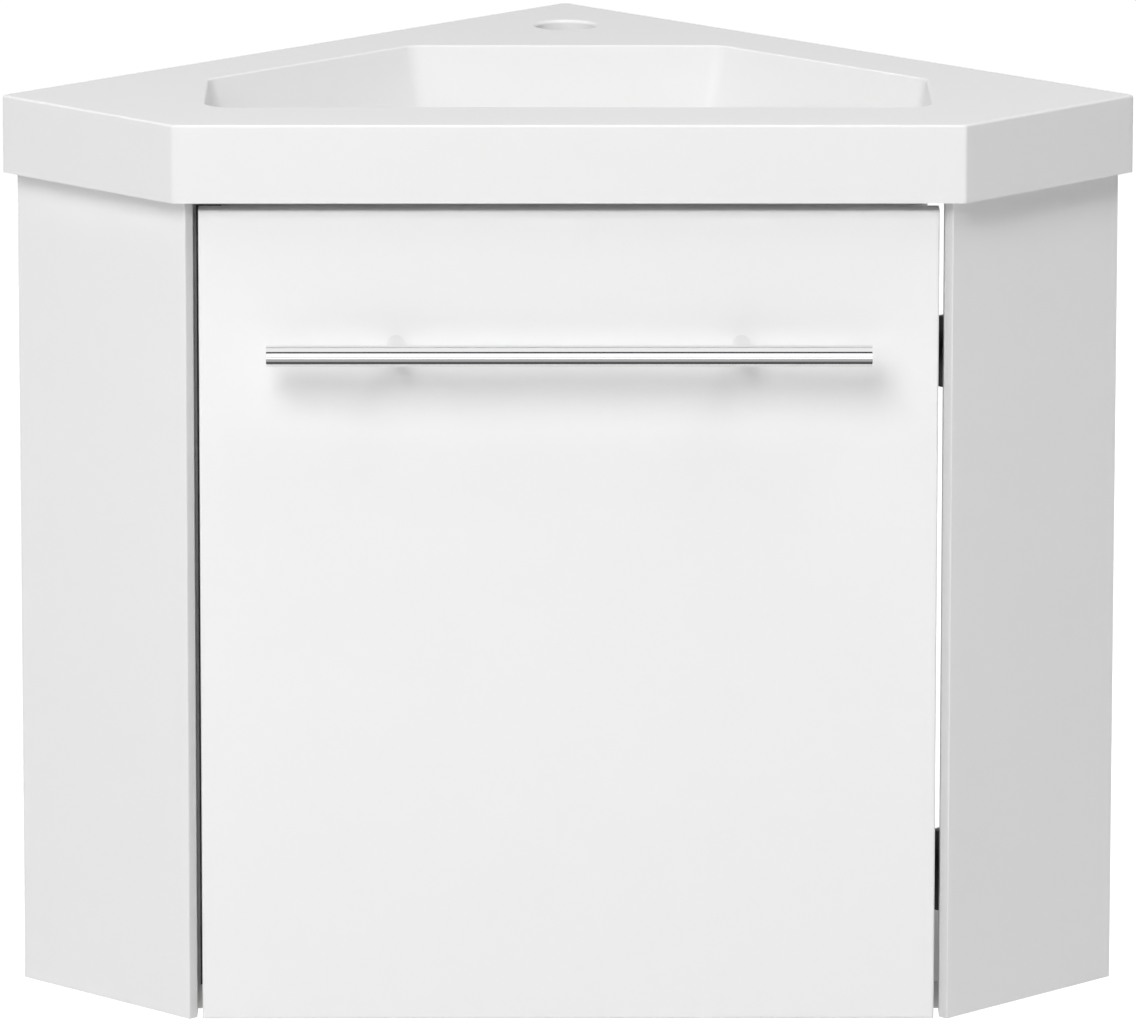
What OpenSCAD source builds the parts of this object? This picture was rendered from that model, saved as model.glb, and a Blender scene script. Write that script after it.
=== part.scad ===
// Corner vanity unit: a five-sided basin top on an open-backed wall cabinet
// with one inset door, a bar handle and two concealed cup hinges.
//
// Millimetres. The two room walls meet on the Z axis: the right wall runs
// along (+1, -1, 0) and the left wall along (-1, -1, 0), so the door looks
// along -Y. Z = 0 is the underside of the cabinet.

/* [Basin] */
// Length of the basin along each wall
wall_len = 450; // [440:1:480]
// Width of the basin's front face
front_w = 439; // [425:1:445]
// Height of the basin's rim
rim_h = 44; // [38:1:60]
// Thickness of the flat top round the bowl
deck_t = 14; // [11:0.5:18]
// Rounding of the rim's upright corners
rim_corner_r = 3; // [1:0.5:6]
// Rounding of the rim's top edge
rim_edge_r = 1.5; // [0.5:0.1:2.5]
// Width of the rim's seat at the sides and the front
seat_w = 34; // [32:1:38]
// Width of the rim's seat along the walls
wall_seat_w = 20; // [18:1:26]

/* [Bowl] */
// Distance from the front face to the bowl's mouth
bowl_front = 57; // [54:1:75]
// Distance of the bowl's mouth from each end of the front face
bowl_end = 15.5; // [14:0.5:30]
// Distance from the wall corner to the bowl's back edge
bowl_back = 151; // [135:1:180]
// Distance from each wall to the bowl's slanted edge
bowl_wall_gap = 43.5; // [40:0.5:60]
// Depth from the rim to the bowl's floor
bowl_depth = 105; // [80:1:130]
// Thickness of the bowl's shell
bowl_t = 8; // [6:0.5:10]
// Rounding of the bowl's upright corners
bowl_corner_r = 14; // [8:1:24]
// Rounding between the bowl's walls and floor
bowl_floor_r = 22; // [12:1:30]
// Rounding of the bowl's lip
lip_r = 1.2; // [0.6:0.2:4]
// Slope of the bowl's front wall, as a share of the depth
front_draft = 0.12; // [0.05:0.01:0.25]
// Slope of the bowl's end walls
end_draft = 0.16; // [0.05:0.01:0.25]
// Slope of the bowl's slanted walls
slant_draft = 0.19; // [0.05:0.01:0.25]
// Slope of the bowl's back wall
back_draft = 0.10; // [0.05:0.01:0.25]
// Fall of the floor towards the waste
floor_fall = 4; // [2:0.5:6]
// Waste hole, diameter
waste_d = 46; // [42:1:50]
// Seat round the waste hole, diameter
waste_seat_d = 66; // [62:1:76]
// Depth of the seat round the waste hole
waste_seat_depth = 2.5; // [1:0.5:3]
// Distance from the front face to the waste hole
waste_y = 158; // [145:1:175]
// Thickness of the waste boss under the seat
waste_boss_t = 12; // [8:1:16]
// Tap hole, diameter
tap_d = 35; // [32:1:38]
// Distance from the wall corner to the tap hole
tap_y = 80.5; // [76:0.5:90]
// Rounding of the tap hole's edge
tap_lip = 2; // [0.5:0.5:3]

/* [Cabinet] */
// Height of the cabinet
cabinet_h = 468; // [420:1:560]
// Thickness of the boards
panel_t = 16; // [15:0.5:19]
// Overhang of the basin past the side panels
side_inset = 12.5; // [9:0.5:14]
// Set-back of the door and panel noses from the basin's front
front_inset = 11; // [8:0.5:18]
// Width across of each square-cut panel nose beside the door
nose_w = 4.3; // [3:0.1:4.4]
// Rounding of the panel noses
nose_r = 1; // [0.5:0.1:1.4]
// Height of the rails under the basin
rail_h = 32; // [30:1:60]
// Gap between the bottom panel and the door's turning edge
floor_gap = 1.5; // [1:0.5:4]
// Side of the square corner post
post_w = 30; // [26:1:34]
// Width of the door stop strip
stop_w = 20; // [17:1:30]
// Thickness of the buffer on the stop strip
buffer_t = 2; // [1:0.1:2]
// Width of the buffer
buffer_w = 14; // [8:1:16]
// Wall screw holes in the rails, diameter
wall_hole_d = 6; // [5:0.5:8]
// Distance between the two wall screw holes of a rail
wall_hole_pitch = 240; // [160:1:280]

/* [Joinery] */
// Dowel, diameter
dowel_d = 8; // [6:1:8]
// Dowel, length
dowel_l = 30; // [26:1:34]
// Depth of a dowel in a side panel
dowel_in_side = 11; // [8:1:13]
// Gap round a glued dowel
dowel_fit = 0.05; // [0.02:0.01:0.1]
// Cam fitting, diameter
cam_d = 15; // [12:1:18]
// Cam fitting, height
cam_h = 12.5; // [11:0.5:13.5]
// Distance from the board's end to the cam
cam_reach = 34; // [28:1:40]
// Gap round a cam
cam_fit = 0.1; // [0.05:0.05:0.3]
// Cam bolt, diameter
cam_bolt_d = 6; // [5:0.5:7]
// Fixing bracket, length of each leg
bracket_leg = 24; // [20:1:26]
// Fixing bracket, width
bracket_w = 20; // [16:1:24]
// Fixing bracket, thickness
bracket_t = 2; // [1.5:0.5:3]
// Gap between a bracket and the rail or the stop strip beside it
bracket_gap = 1.5; // [1:0.5:3]

/* [Door] */
// Thickness of the door
door_t = 16; // [15:0.5:16]
// Gap between the door and each panel nose
door_side_gap = 3; // [2.8:0.1:4]
// Gap between the basin and the door
door_top_gap = 6; // [4:0.5:10]
// Rounding of the door's front edges
door_edge_r = 1.2; // [0.5:0.1:2]

/* [Handle] */
// Bar, diameter
bar_d = 12; // [10:0.5:16]
// Bar, length
bar_l = 335; // [250:1:360]
// Distance from the door to the bar's axis
bar_reach = 34; // [28:1:45]
// Distance from the door's top edge to the bar's axis
bar_drop = 75.4; // [50:0.1:120]
// Post, diameter
post_d = 10.5; // [8:0.5:11]
// Distance between the posts
post_pitch = 192; // [128:32:256]
// Handle screw, diameter
handle_screw_d = 4; // [3:0.5:5]

/* [Hinge] */
// Distance from the door's top and bottom edges to a hinge
hinge_end = 84; // [60:1:110]
// Cup, diameter
cup_d = 35; // [34:1:36]
// Depth of the cup in the door
cup_depth = 12.5; // [12:0.1:13]
// Distance from the door's edge to the cup
cup_edge = 5; // [4:0.5:6]
// Thickness of the cup's sheet
cup_t = 0.9; // [0.6:0.1:1.2]
// Gap round the cup
cup_fit = 0.1; // [0.05:0.05:0.2]
// Distance from the door's edge to the hinge pin
pin_in = 12; // [11.5:0.1:13]
// Distance from the door's front face to the hinge pin
pin_back = 8; // [7.5:0.1:8.2]
// Hinge pin, diameter
pin_d = 3.5; // [3:0.1:4]
// Gap round the hinge pin
pin_fit = 0.05; // [0.03:0.01:0.1]
// Knuckle wall round the pin
knuckle_t = 1.5; // [1:0.1:1.6]
// Reach of the goose-neck round the door's edge
neck = 17; // [16.5:0.1:18]
// Thickness of the arm
arm_t = 2.5; // [2:0.1:3]
// Width of the arm
arm_w = 14; // [12:0.5:15]
// Length of the arm along the side panel
arm_l = 36; // [32:1:42]
// Height of the wedge and the mounting plate
wedge_h = 39.5; // [38:0.5:48]
// How much further the lower wedge reaches down
wedge_foot = 6.5; // [0:0.5:12]
// Thickness of the wedge
wedge_t = 6; // [5:0.5:7]
// Length of the wedge along the side panel
wedge_l = 44; // [40:1:50]
// Thickness of the mounting plate
plate_t = 2; // [1.5:0.5:2.5]

/* [Hidden] */
$fn = 48;
eps = 0.5;              // reach of a cutter past the face that it cuts
rt2 = sqrt(2);

// Basin outline
top_z = cabinet_h + rim_h;
half_diag = wall_len / rt2;
y_front = -(2 * half_diag - front_w / 2);

// Side panels: distances along the wall of their outer and inner faces
u_out = wall_len - side_inset;
u_in = u_out - panel_t;
y_nose = y_front + front_inset;
x_nose_out = rt2 * u_out + y_nose;
x_nose_in = x_nose_out - nose_w;
y_carcass = x_nose_in - rt2 * u_in;     // where the door recess ends
v_front = u_in - rt2 * x_nose_in;       // inner face, distance from wall to recess
swing_r = norm([pin_in, door_t - pin_back]);    // door's back corner round the pin
y_floor = y_nose + pin_back + swing_r + floor_gap;  // bottom panel's front edge
x_floor = x_nose_in + y_floor - y_carcass;
v_floor = u_in - rt2 * x_floor;

// Door
door_w = 2 * (x_nose_in - door_side_gap);
door_h = cabinet_h - door_top_gap;
y_door_back = y_nose + door_t;

// Handle
bar_z = door_h - bar_drop;
y_bar = y_nose - bar_reach;
handle_screw_in = 12;                   // grip of a screw in its post
handle_hole_gap = 0.25;
screw_head_h = 2.4;

// Hinge
hinge_zs = [hinge_end, door_h - hinge_end];     // lower, upper
pin_x = door_w / 2 - pin_in;
pin_y = y_nose + pin_back;
cup_x = door_w / 2 - cup_edge - cup_d / 2;
y_cup = y_door_back - cup_depth;
cup_r = cup_d / 2 - cup_fit;
cup_in_r = cup_r - cup_t;
ear_gap = 0.6;
pin_half = sqrt(pow(cup_in_r, 2) - pow(pin_x - cup_x, 2)) - 0.6;
flange_t = 1.2;
flange_r = cup_d / 2 + 2;
cup_screw_z = 24;
cup_screw_x = cup_x - 6;
cup_screw_r = 1.75;
cup_screw_l = 11;
wing_r = 6;
arm_n = wedge_t + plate_t + arm_t / 2;          // arm's mid-plane off the panel
wedge_start = 1;
plate_screw_r = 2;
plate_screw_z = wedge_h / 2 - 4.75;
plate_screw_s = 24;
plate_screw_in = 11;
plate_screw_head_r = 3.8;
arm_screw_r = 2.5;
arm_screw_head_r = 4.5;
arm_screw_ss = [12, 26];
arm_screw_end = 1.5;                            // reach into the wedge

// Bowl
bowl_w = front_w - 2 * bowl_end;
y_bowl = y_front + bowl_front;
waste_pos = [0, y_front + waste_y];
floor_z = top_z - bowl_depth;
waste_z = floor_z - floor_fall;
waste_rim = 3;                          // flat ring round the waste's seat
bowl_cuts = [2, 4, 3, 4, 2, 10];        // pieces of each straight of the bowl's outline
boss_r = waste_seat_d / 2 + 8;

// Joinery
bolt_z = panel_t / 2;
cam_vs = [30, v_floor - 26];
bottom_dowel_vs = [14, (30 + v_floor - 26) / 2, v_floor - 12];
rail_dowel_zs = [cabinet_h - rail_h / 4, cabinet_h - 3 * rail_h / 4];
rail_z = cabinet_h - rail_h;
post_dowel_in = 16;
bottom_dowel_in_post = dowel_l - dowel_in_side;
cam_bolt_in = 11;
thread_fit = 0.05;                      // gap round a thread in its hole
bracket_vs = [panel_t + bracket_gap + bracket_w / 2,
              v_front - rt2 * panel_t - bracket_gap - bracket_w / 2];
bracket_screw_r = 2;
bracket_screw_l = 13;
pad_w = bracket_w + 6;
pad_l = bracket_leg + 3;

// ---------- Outlines and lofts ----------

function unit(v) = v / norm(v);

// Points of an arc that rounds corner b between a and c
function corner_arc(a, b, c, r, n) =
    r <= 0 ? [b] :
    let (p = unit(a - b), q = unit(c - b),
         half = acos(max(-1, min(1, p * q))) / 2,
         m = b + unit(p + q) * r / sin(half),
         t0 = b + p * r / tan(half) - m, t1 = b + q * r / tan(half) - m,
         a0 = atan2(t0[1], t0[0]), d = atan2(t1[1], t1[0]) - a0,
         turn = d > 180 ? d - 360 : d < -180 ? d + 360 : d)
    [for (i = [0 : n]) m + r * [cos(a0 + turn * i / n), sin(a0 + turn * i / n)]];

// Polygon with each corner rounded by its own radius
function rounded(pts, rs, n = 4) =
    let (k = len(pts))
    [for (i = [0 : k - 1])
        for (p = corner_arc(pts[(i + k - 1) % k], pts[i], pts[(i + 1) % k], rs[i], n)) p];

// Rounded outline with the straight after corner j cut into cuts[j] pieces.
// It starts inside the first corner, so that no cap fans out along a straight.
function divided(pts, cuts, n = 4) =
    let (k = len(pts))
    [for (s = [0 : k - 1])
        let (i = (s + n / 2) % k, q = pts[(i + 1) % k],
             m = i % (n + 1) == n ? cuts[floor(i / (n + 1))] : 1)
        for (j = [0 : m - 1]) pts[i] + (q - pts[i]) * j / m];

// Centre line with each inner bend rounded
function bent(pts, r, n = 4) =
    let (k = len(pts))
    [for (i = [0 : k - 1])
        for (p = i == 0 || i == k - 1 ? [pts[i]]
                 : corner_arc(pts[i - 1], pts[i], pts[i + 1], r, n)) p];

// Outline of a strip of thickness t along a centre line
function strip(pts, t) =
    let (k = len(pts),
         dirs = [for (i = [0 : k - 2]) unit(pts[i + 1] - pts[i])],
         offs = [for (i = [0 : k - 1])
                    let (d0 = dirs[max(i - 1, 0)], d1 = dirs[min(i, k - 2)],
                         m = unit(d0 + d1), side = [-m[1], m[0]])
                    side * t / 2 / (m * d1)])
    concat([for (i = [0 : k - 1]) pts[i] + offs[i]],
           [for (i = [k - 1 : -1 : 0]) pts[i] - offs[i]]);

// Solid through rings of equal point counts, listed from the top down
module loft(rings) {
    n = len(rings[0]);
    k = len(rings);
    polyhedron(
        points = [for (r = rings) for (p = r) p],
        faces = concat(
            [[for (i = [n - 1 : -1 : 0]) i]],
            [for (j = [0 : k - 2]) for (i = [0 : n - 1])
                [j * n + i, j * n + (i + 1) % n, (j + 1) * n + (i + 1) % n]],
            [for (j = [0 : k - 2]) for (i = [0 : n - 1])
                [j * n + i, (j + 1) * n + (i + 1) % n, (j + 1) * n + i]],
            [[for (i = [0 : n - 1]) (k - 1) * n + i]]));
}

function lift(pts, z) = [for (p = pts) [p[0], p[1], z]];

// Basin outline, moved in from the walls, the short sides and the front
function rim_outline(in_wall, in_side, in_front, r) =
    let (y = y_front + in_front, x = rt2 * (wall_len - in_side) + y,
         e = (wall_len - in_side - in_wall) / rt2,
         ey = -(wall_len - in_side + in_wall) / rt2)
    rounded([[x, y], [e, ey], [0, -rt2 * in_wall], [-e, ey], [-x, y]],
            [r, r, r, r, r]);

// Bowl outline at a depth below the lip, moved in by d
function bowl_outline(depth, d, r) =
    let (y0 = y_bowl + front_draft * depth + d,
         x = bowl_w / 2 - end_draft * depth - d,
         g = rt2 * (bowl_wall_gap + slant_draft * depth + d),
         y1 = -(bowl_back + back_draft * depth + d),
         x1 = -y1 - g)
    divided(rounded([[x, y0], [x, -(x + g)], [x1, y1], [-x1, y1], [-x, -(x + g)], [-x, y0]],
                    [r, r, r, r, r, r]), bowl_cuts);

// Upright centre lines, fixed to the right wall: u along it, v off it
module on_wall(u, v, z) rotate([0, 0, -45]) translate([u, -v, z]) children();

// Frame on the right panel's inner face: s from the recess, n off the face
module on_panel(s, n, z)
    translate([x_nose_in, y_carcass, 0]) rotate([0, 0, 45])
        translate([s, n, z]) children();

module both_sides() {
    children();
    mirror([1, 0, 0]) children();
}

// Cylinder along X
module rod_x(r, l) rotate([0, 90, 0]) cylinder(r = r, h = l);

// Cylinder along Y
module rod_y(r, l) rotate([-90, 0, 0]) cylinder(r = r, h = l);

// ---------- Basin ----------

module rim_body()
    loft(concat(
        [for (a = [90, 45, 0])
            lift(rim_outline(rim_edge_r * (1 - cos(a)), rim_edge_r * (1 - cos(a)),
                             rim_edge_r * (1 - cos(a)), rim_corner_r),
                 top_z - rim_edge_r * (1 - sin(a)))],
        [lift(rim_outline(0, 0, 0, rim_corner_r), cabinet_h)]));

module rim_pocket()
    translate([0, 0, cabinet_h - eps])
        linear_extrude(height = rim_h - deck_t + eps)
            polygon(rim_outline(wall_seat_w, seat_w, seat_w, 2 * rim_corner_r));

// Pads that take the bracket screws
module bracket_pads()
    both_sides()
        for (v = bracket_vs)
            on_wall(u_in - pad_l, v + pad_w / 2, cabinet_h)
                cube([wall_len - seat_w + eps - (u_in - pad_l), pad_w, rim_h - deck_t + eps]);

// Space inside the bowl
module bowl_space()
    loft(concat(
        [lift(bowl_outline(0, 0, bowl_corner_r + lip_r), top_z + 1)],
        [for (a = [90 : -30 : 0])
            lift(bowl_outline(0, lip_r * cos(a), bowl_corner_r + lip_r * (1 - cos(a))),
                 top_z - lip_r * (1 - sin(a)))],
        [for (b = [0 : 22.5 : 90])
            lift(bowl_outline(bowl_depth - bowl_floor_r * (1 - sin(b)),
                              lip_r + bowl_floor_r * (1 - cos(b)), bowl_corner_r),
                 floor_z + bowl_floor_r * (1 - sin(b)))],
        [[for (p = bowl_outline(bowl_depth, lip_r + bowl_floor_r, bowl_corner_r))
            let (q = waste_pos + (waste_seat_d / 2 + waste_rim) * unit(p - waste_pos))
                [q[0], q[1], waste_z]]]));

// Outside of the bowl's shell
module bowl_shell()
    loft(concat(
        [lift(bowl_outline(deck_t / 2, lip_r - bowl_t, bowl_corner_r + bowl_t),
              top_z - deck_t / 2)],
        [for (b = [0 : 30 : 90])
            lift(bowl_outline(bowl_depth - bowl_floor_r * (1 - sin(b)),
                              lip_r - bowl_t * cos(b) + bowl_floor_r * (1 - cos(b)),
                              bowl_corner_r + bowl_t * cos(b)),
                 floor_z + bowl_floor_r - (bowl_floor_r + bowl_t) * sin(b))]));

module basin() color("white")
    difference() {
        union() {
            difference() {
                rim_body();
                rim_pocket();
            }
            bracket_pads();
            bowl_shell();
            translate([waste_pos[0], waste_pos[1], waste_z - waste_boss_t])
                cylinder(r = boss_r, h = waste_boss_t + eps);
        }
        bowl_space();
        translate([waste_pos[0], waste_pos[1], waste_z - waste_boss_t - eps])
            cylinder(d = waste_d, h = waste_boss_t + 2 * eps);
        translate([waste_pos[0], waste_pos[1], waste_z - waste_seat_depth])
            cylinder(d = waste_seat_d, h = waste_seat_depth + eps);
        translate([0, -tap_y, top_z - deck_t - eps])
            cylinder(d = tap_d, h = deck_t + 2 * eps);
        translate([0, -tap_y, top_z - tap_lip])
            cylinder(d1 = tap_d, d2 = tap_d + 2 * tap_lip, h = tap_lip);
        both_sides()
            for (v = bracket_vs)
                on_wall(u_in - bracket_leg * 0.6, v, cabinet_h - eps)
                    cylinder(r = bracket_screw_r + thread_fit,
                             h = bracket_screw_l - bracket_t + eps);
    }

// ---------- Cabinet ----------

// Dowel places at a side panel: bottom panel's, then the rail's
module at_side_dowels(depth)
    union() {
        for (v = bottom_dowel_vs) on_wall(u_in + depth, v, bolt_z) children();
        for (z = rail_dowel_zs) on_wall(u_in + depth, panel_t / 2, z) children();
    }

module side_blank()
    difference() {
        linear_extrude(height = cabinet_h)
            polygon(rounded([[u_out / rt2, -u_out / rt2], [u_in / rt2, -u_in / rt2],
                             [x_nose_in, y_carcass], [x_nose_in, y_nose + nose_w],
                             [x_nose_out, y_nose]],
                            [0, 0, 0, nose_r, nose_r], 3));
        at_side_dowels(-eps)
            rod_x(dowel_d / 2 + dowel_fit, dowel_in_side + eps);
        for (v = cam_vs)
            on_wall(u_in - eps, v, bolt_z)
                rod_x(cam_bolt_d / 2 - 0.5 + thread_fit, cam_bolt_in + eps);
        for (v = bracket_vs)
            on_wall(u_in - eps, v, cabinet_h - bracket_leg * 0.6)
                rod_x(bracket_screw_r + thread_fit, bracket_screw_l - bracket_t + eps);
    }

module side_panel_left() color("white")
    mirror([1, 0, 0]) side_blank();

module side_panel_right() color("white")
    difference() {
        side_blank();
        for (z = hinge_zs, dz = [-plate_screw_z, plate_screw_z])
            on_panel(plate_screw_s, eps, z + dz)
                rotate([90, 0, 0])
                    cylinder(r = plate_screw_r + thread_fit, h = plate_screw_in + eps);
    }

module bottom_panel() color("white")
    difference() {
        linear_extrude(height = panel_t)
            polygon([[x_floor, y_floor], [u_in / rt2, -u_in / rt2], [0, 0],
                     [-u_in / rt2, -u_in / rt2], [-x_floor, y_floor]]);
        both_sides() {
            for (v = bottom_dowel_vs)
                on_wall(u_in - (dowel_l - dowel_in_side) - 1, v, bolt_z)
                    rod_x(dowel_d / 2 + dowel_fit, dowel_l + eps);
            for (v = cam_vs) {
                on_wall(u_in - cam_reach, v, -eps)
                    cylinder(r = cam_d / 2, h = cam_h + eps);
                on_wall(u_in - cam_reach, v, bolt_z)
                    rod_x(cam_bolt_d / 2 + 0.5, cam_reach + eps);
            }
        }
        on_wall(post_w / 2 + 5, post_w / 2 + 5, panel_t - dowel_in_side)
            cylinder(r = dowel_d / 2 + dowel_fit, h = dowel_in_side + eps);
    }

// Rail on the right wall, between the corner post and the side panel
module rail()
    difference() {
        on_wall(post_w, panel_t, rail_z) cube([u_in - post_w, panel_t, rail_h]);
        for (z = rail_dowel_zs) {
            on_wall(u_in - (dowel_l - dowel_in_side) - 1, panel_t / 2, z)
                rod_x(dowel_d / 2 + dowel_fit, dowel_l);
            on_wall(post_w - eps, panel_t / 2, z)
                rod_x(dowel_d / 2 + dowel_fit, dowel_l - post_dowel_in + 1 + eps);
        }
        for (k = [-1, 1])
            on_wall((post_w + u_in) / 2 + k * wall_hole_pitch / 2, -eps, cabinet_h - rail_h / 2)
                rotate([90, 0, 0])
                    cylinder(d = wall_hole_d, h = panel_t + 2 * eps);
    }

module rail_right() color("white") rail();
module rail_left() color("white") mirror([1, 0, 0]) rail();

module corner_post() color("white")
    difference() {
        on_wall(0, post_w, panel_t) cube([post_w, post_w, cabinet_h - panel_t]);
        both_sides()
            for (z = rail_dowel_zs)
                on_wall(post_w - post_dowel_in, panel_t / 2, z)
                    rod_x(dowel_d / 2 + dowel_fit, post_dowel_in + eps);
        on_wall(post_w / 2 + 5, post_w / 2 + 5, panel_t - eps)
            cylinder(r = dowel_d / 2 + dowel_fit, h = bottom_dowel_in_post + 1 + eps);
    }

// Strip behind the door's closing edge, glued to the left panel
module stop_strip() color("white")
    translate([0, 0, panel_t])
        linear_extrude(height = cabinet_h - panel_t)
            polygon([[-x_nose_in, y_carcass], [-x_nose_in + stop_w, y_carcass],
                     [-x_nose_in + stop_w, y_carcass + panel_t],
                     [-x_nose_in - panel_t, y_carcass + panel_t]]);

module stop_buffer() color("dimgray")
    translate([-x_nose_in + 1.5, y_carcass - buffer_t, panel_t])
        cube([buffer_w, buffer_t, door_h - panel_t]);

module dowels() color("burlywood") {
    both_sides() {
        at_side_dowels(dowel_in_side - 0.5 - dowel_l) rod_x(dowel_d / 2, dowel_l);
        for (z = rail_dowel_zs)
            on_wall(post_w - post_dowel_in + 0.5, panel_t / 2, z) rod_x(dowel_d / 2, dowel_l);
    }
    on_wall(post_w / 2 + 5, post_w / 2 + 5, panel_t - dowel_in_side + 0.5)
        cylinder(d = dowel_d, h = dowel_l);
}

// Cam with a cross slot below and a pocket for the bolt's head
module cam_housings() color("silver")
    both_sides()
        for (v = cam_vs)
            difference() {
                on_wall(u_in - cam_reach, v, 0) cylinder(r = cam_d / 2 - cam_fit, h = cam_h - 0.3);
                on_wall(u_in - cam_reach - cam_bolt_d / 2 - 1, v, bolt_z)
                    rod_x(cam_bolt_d / 2 + 0.6, cam_d);
                for (a = [0, 90])
                    on_wall(u_in - cam_reach, v, -eps) rotate([0, 0, a])
                        translate([-cam_d * 0.3, -0.75, 0]) cube([cam_d * 0.6, 1.5, 2 + eps]);
            }

module cam_bolts() color("silver")
    both_sides()
        for (v = cam_vs) {
            on_wall(u_in, v, bolt_z) rod_x(cam_bolt_d / 2 - 0.5, cam_bolt_in - 0.5);
            on_wall(u_in - cam_reach + 5, v, bolt_z) rod_x(cam_bolt_d / 2, cam_reach - 5);
            on_wall(u_in - cam_reach + 1, v, bolt_z) rod_x(cam_bolt_d / 3, 4);
            on_wall(u_in - cam_reach - 2, v, bolt_z) rod_x(cam_bolt_d / 2, 3);
        }

// Angle bracket under the rim, on the inner face of a side panel
module fixing_brackets() color("silver")
    both_sides()
        for (v = bracket_vs)
            difference() {
                union() {
                    on_wall(u_in - bracket_leg, v + bracket_w / 2, cabinet_h - bracket_t)
                        cube([bracket_leg, bracket_w, bracket_t]);
                    on_wall(u_in - bracket_t, v + bracket_w / 2, cabinet_h - bracket_leg)
                        cube([bracket_t, bracket_w, bracket_leg]);
                }
                on_wall(u_in - bracket_leg * 0.6, v, cabinet_h - bracket_t - eps)
                    cylinder(r = bracket_screw_r + 0.3, h = bracket_t + 2 * eps);
                on_wall(u_in - bracket_t - eps, v, cabinet_h - bracket_leg * 0.6)
                    rod_x(bracket_screw_r + 0.3, bracket_t + 2 * eps);
            }

module pan_screw(r, l, head_r, head_h) {
    translate([0, 0, -head_h]) cylinder(r = head_r, h = head_h);
    cylinder(r = r, h = l);
}

module bracket_screws() color("silver")
    both_sides()
        for (v = bracket_vs) {
            on_wall(u_in - bracket_leg * 0.6, v, cabinet_h - bracket_t)
                pan_screw(bracket_screw_r, bracket_screw_l - 0.5, 3.6, 2);
            on_wall(u_in - bracket_t, v, cabinet_h - bracket_leg * 0.6)
                rotate([0, 90, 0]) pan_screw(bracket_screw_r, bracket_screw_l - 0.5, 3.6, 2);
        }

// ---------- Hinges, carcass side ----------

// Plate shape on the side panel, from depth n0, with its fixing holes
module on_panel_plate(n0, t, hole_r) {
    difference() {
        on_panel(wedge_start, n0, -wedge_h / 2) cube([wedge_l, t, wedge_h]);
        for (dz = [-plate_screw_z, plate_screw_z])
            on_panel(plate_screw_s, n0 + t + eps, dz)
                rotate([90, 0, 0]) cylinder(r = hole_r, h = t + 2 * eps);
        for (s = arm_screw_ss)
            on_panel(s, n0 + t + eps, 0)
                rotate([90, 0, 0]) cylinder(r = arm_screw_r + (n0 > 0 ? thread_fit : 0.5),
                                            h = t + 2 * eps);
    }
}

module hinge_wedge(z) translate([0, 0, z]) on_panel_plate(0, wedge_t, plate_screw_r + 0.2);
module hinge_wedge_lower() color("dimgray") {
    hinge_wedge(hinge_zs[0]);
    translate([0, 0, hinge_zs[0]])
        on_panel(wedge_start, 0, -wedge_h / 2 - wedge_foot)
            cube([wedge_l, wedge_t, wedge_foot + 1]);
}
module hinge_wedge_upper() color("dimgray") hinge_wedge(hinge_zs[1]);

module hinge_plate(z) translate([0, 0, z])
    difference() {
        on_panel_plate(wedge_t, plate_t, plate_screw_r + 0.2);
        for (dz = [-plate_screw_z, plate_screw_z])
            on_panel(plate_screw_s, wedge_t + plate_t, dz)
                rotate([90, 0, 0])
                    cylinder(r1 = plate_screw_head_r, r2 = plate_screw_r + 0.2,
                             h = plate_t);
    }
module hinge_plate_lower() color("silver") hinge_plate(hinge_zs[0]);
module hinge_plate_upper() color("silver") hinge_plate(hinge_zs[1]);

module hinge_plate_screws() color("silver")
    for (z = hinge_zs, dz = [-plate_screw_z, plate_screw_z])
        on_panel(plate_screw_s, wedge_t + plate_t, z + dz)
            rotate([90, 0, 0]) {
                cylinder(r1 = plate_screw_head_r, r2 = plate_screw_r, h = plate_t);
                cylinder(r = plate_screw_r, h = plate_t + wedge_t + plate_screw_in - 0.5);
            }

// Goose-neck arm: out of the cup, round the door's edge, along the panel
module hinge_arm(z) {
    off = x_nose_in - pin_x - (y_carcass - pin_y);      // inner face: x - y
    bend = [neck + off - rt2 * arm_n, neck];
    line = bent([[0, 0], [-neck, 0], [-neck, neck], bend,
                 bend + arm_l / rt2 * [1, 1]], 3);
    difference() {
        translate([pin_x, pin_y, z - arm_w / 2])
            difference() {
                union() {
                    linear_extrude(height = arm_w) polygon(strip(line, arm_t));
                    cylinder(r = pin_d / 2 + pin_fit + knuckle_t, h = arm_w);
                }
                translate([0, 0, -eps])
                    cylinder(r = pin_d / 2 + pin_fit, h = arm_w + 2 * eps);
            }
        for (s = arm_screw_ss)
            on_panel(s, arm_n + arm_t / 2 + eps, z)
                rotate([90, 0, 0]) cylinder(r = arm_screw_r + 0.2, h = arm_t + 2 * eps);
    }
}
module hinge_arm_lower() color("silver") hinge_arm(hinge_zs[0]);
module hinge_arm_upper() color("silver") hinge_arm(hinge_zs[1]);

module hinge_arm_screws() color("silver")
    for (z = hinge_zs, s = arm_screw_ss)
        on_panel(s, arm_n + arm_t / 2, z)
            rotate([90, 0, 0])
                difference() {
                    pan_screw(arm_screw_r, arm_t + plate_t + arm_screw_end,
                              arm_screw_head_r, 2.2);
                    for (a = [0, 90])
                        rotate([0, 0, a]) translate([-2.5, -0.5, -2.2 - eps])
                            cube([5, 1, 1.2 + eps]);
                }

// ---------- Door ----------

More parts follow.
